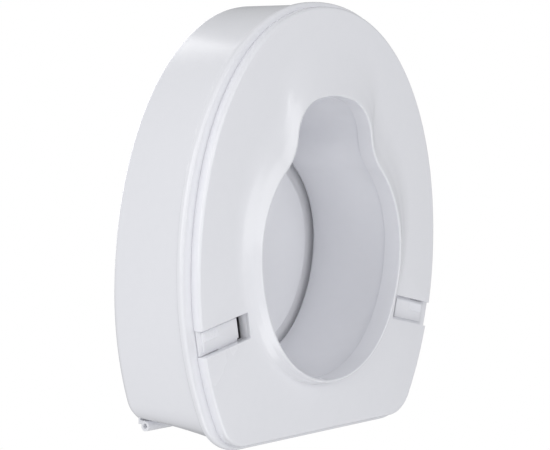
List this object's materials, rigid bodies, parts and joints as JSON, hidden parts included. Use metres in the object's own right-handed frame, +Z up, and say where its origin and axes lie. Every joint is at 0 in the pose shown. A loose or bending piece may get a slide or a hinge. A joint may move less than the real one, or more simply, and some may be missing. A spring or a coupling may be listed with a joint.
{
  "type": "raised toilet seat",
  "caption": "Hollow pear-shaped raised toilet seat with a flat hinged lid, a rim bead, a locating collar round a keyhole-shaped duct and a sliding side clamp on each side.",
  "frame": {"origin": "under the middle of the part's outline, at the level of the lowest edge of the locating collar", "axes": "+Z up through the seat to the lid, -Y towards the round nose at the front, +Y towards the straight rear edge with the lid hinge, +X towards the left of a person who sits on it"},
  "size_m": [0.382, 0.413, 0.131],
  "materials": {
    "moulding": "gloss white moulding",
    "lid_moulding": "gloss white moulding",
    "buffer": "soft grey rubber",
    "steel": "stainless steel"
  },
  "bodies": {
    "seat": {"seat_shell": "moulding", "base_plate": "moulding", "hinge_bracket_left": "moulding", "hinge_bracket_right": "moulding", "hinge_pin_left": "steel", "hinge_pin_right": "steel", "hinge_screws": "steel", "slide_track_left": "moulding", "slide_track_right": "moulding", "track_screws": "steel", "detent_spring_left": "steel", "detent_spring_right": "steel"},
    "lid": {"lid_cover": "lid_moulding", "lid_liner": "lid_moulding", "lid_buffers": "buffer", "lid_screws": "steel", "lid_knuckle_left": "moulding", "lid_knuckle_right": "moulding"},
    "left_clamp": {"clamp_slide_left": "moulding"},
    "right_clamp": {"clamp_slide_right": "moulding"}
  },
  "joints": [
    {"name": "lid_hinge", "type": "hinge", "parent": "seat", "child": "lid", "pos_m": [0, 0.192, 0.1075], "axis": [-1, 0, 0], "range_deg": [0, 105]},
    {"name": "left_clamp_slide", "type": "slide", "parent": "seat", "child": "left_clamp", "axis": [0.9781, 0.2079, 0], "range_m": [-0.009, 0.018]},
    {"name": "right_clamp_slide", "type": "slide", "parent": "seat", "child": "right_clamp", "axis": [-0.9781, 0.2079, 0], "range_m": [-0.009, 0.018]}
  ]
}
